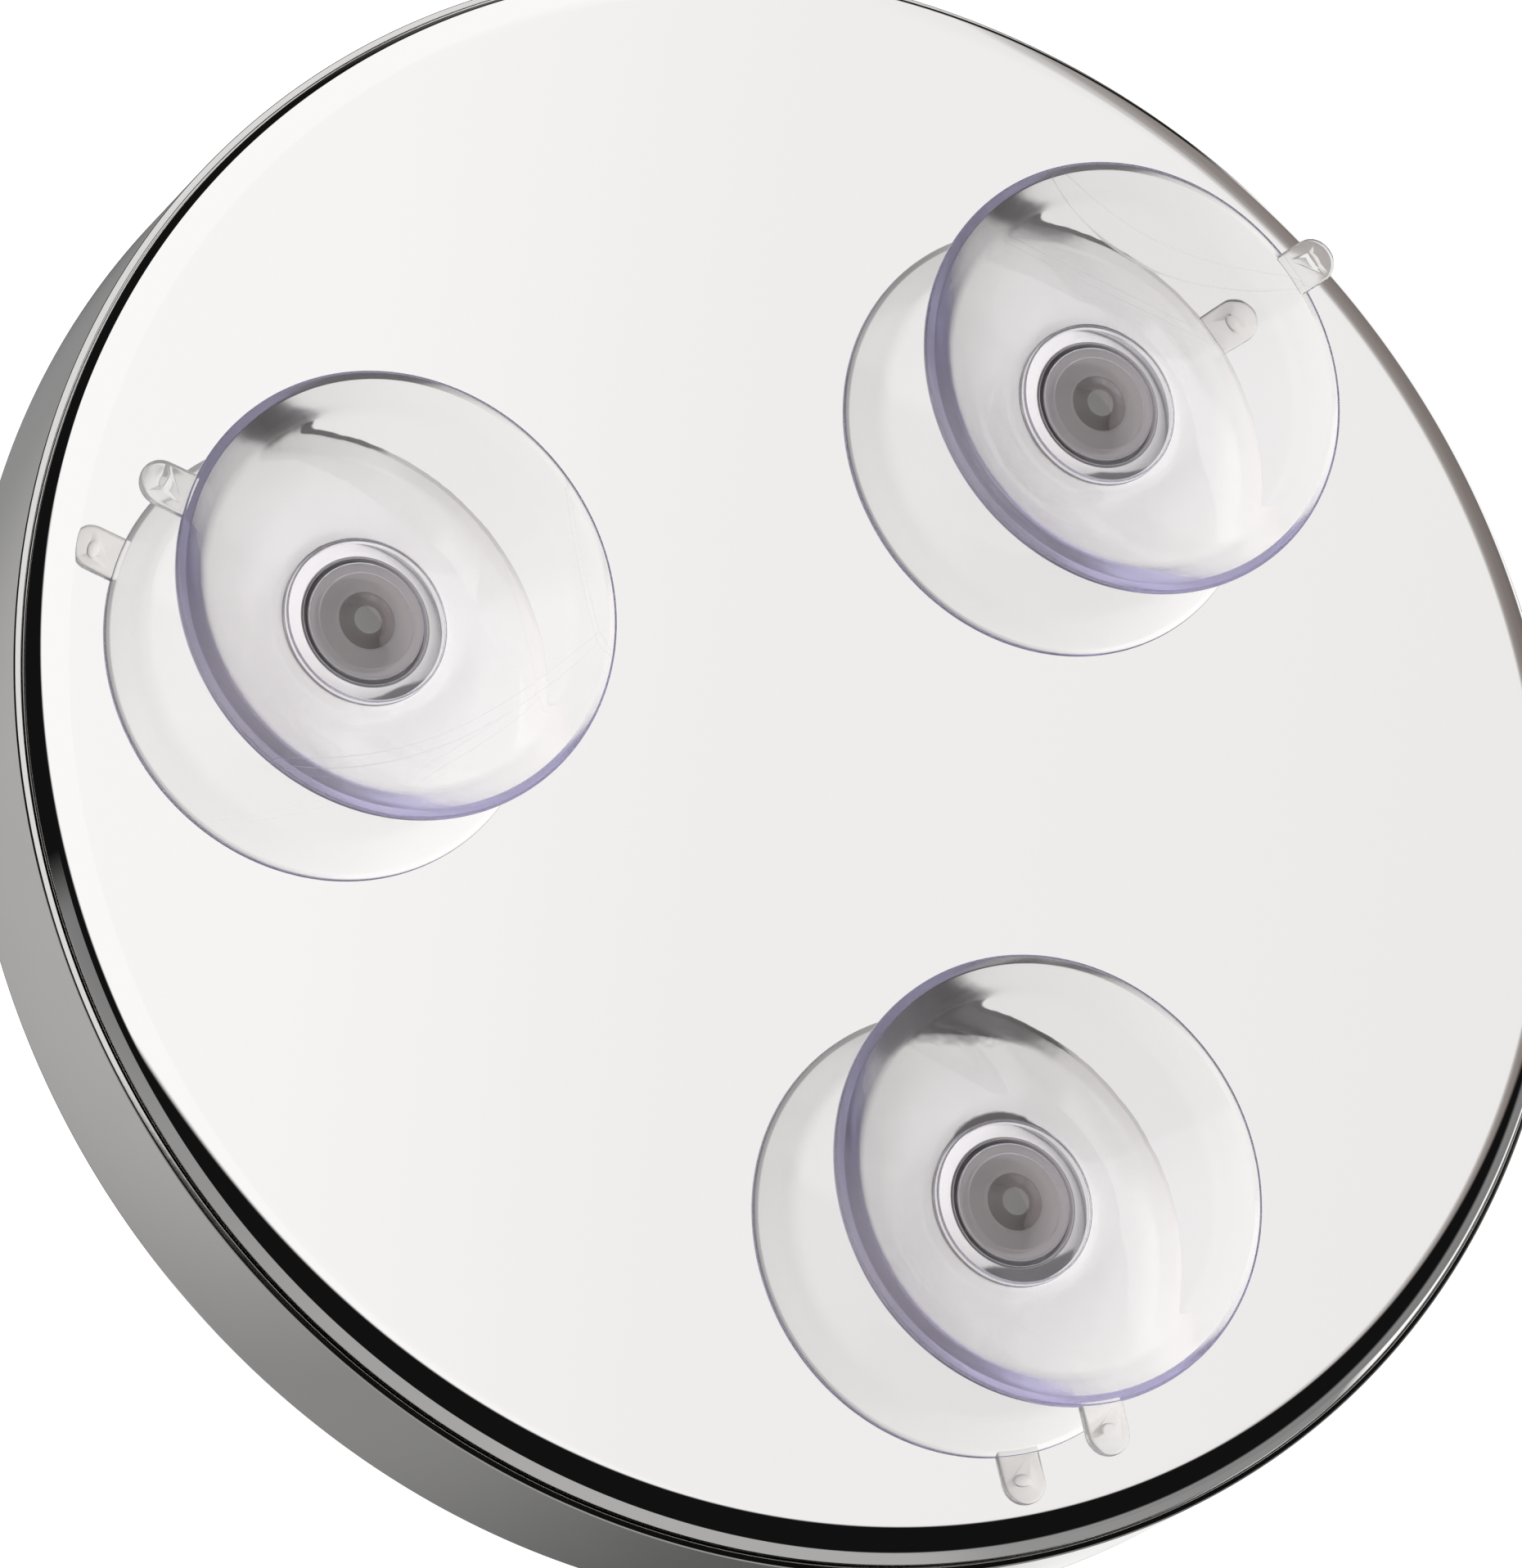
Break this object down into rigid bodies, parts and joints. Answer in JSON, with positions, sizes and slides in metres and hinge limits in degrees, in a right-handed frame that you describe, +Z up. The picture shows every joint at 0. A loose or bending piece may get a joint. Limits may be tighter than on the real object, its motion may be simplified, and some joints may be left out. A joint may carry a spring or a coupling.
{
  "type": "suction cup wall mirror",
  "caption": "Round wall mirror in a chrome housing: hollow enlarging glass in front, polished rear plate with clear suction cups that turn in their holes.",
  "frame": {"origin": "centre of the plane where the cup lips meet the wall, on the mirror's axis", "axes": "+Y along the mirror's axis into the wall, the mirror face looks along -Y, +Z up as hung"},
  "size_m": [0.1646, 0.0299, 0.1646],
  "materials": {
    "chrome_ring": "bright chrome on a moulded ring",
    "chrome_plate": "mirror polished",
    "mirror_glass": "silvered glass",
    "grey_foam": "closed cell foam",
    "white_plastic": "moulded",
    "backing_paint": "painted sheet",
    "clear_vinyl": "clear soft vinyl with a faint violet tint"
  },
  "bodies": {
    "housing": {"housing_ring": "chrome_ring", "rear_plate": "chrome_plate", "mirror_glass": "mirror_glass", "glass_gasket": "grey_foam", "spacer_ring": "white_plastic", "backing_sheet": "backing_paint", "foam_pad_1": "grey_foam", "foam_pad_2": "grey_foam", "foam_pad_3": "grey_foam"},
    "cup_1": {"suction_cup_1": "clear_vinyl"},
    "cup_2": {"suction_cup_2": "clear_vinyl"},
    "cup_3": {"suction_cup_3": "clear_vinyl"}
  },
  "joints": [
    {"name": "cup_1_spin", "type": "hinge", "parent": "housing", "child": "cup_1", "pos_m": [0, -0.0105, 0.0487], "axis": [0, 1, 0], "continuous": true},
    {"name": "cup_2_spin", "type": "hinge", "parent": "housing", "child": "cup_2", "pos_m": [-0.04218, -0.0105, -0.02435], "axis": [0, 1, 0], "continuous": true},
    {"name": "cup_3_spin", "type": "hinge", "parent": "housing", "child": "cup_3", "pos_m": [0.04218, -0.0105, -0.02435], "axis": [0, 1, 0], "continuous": true}
  ]
}
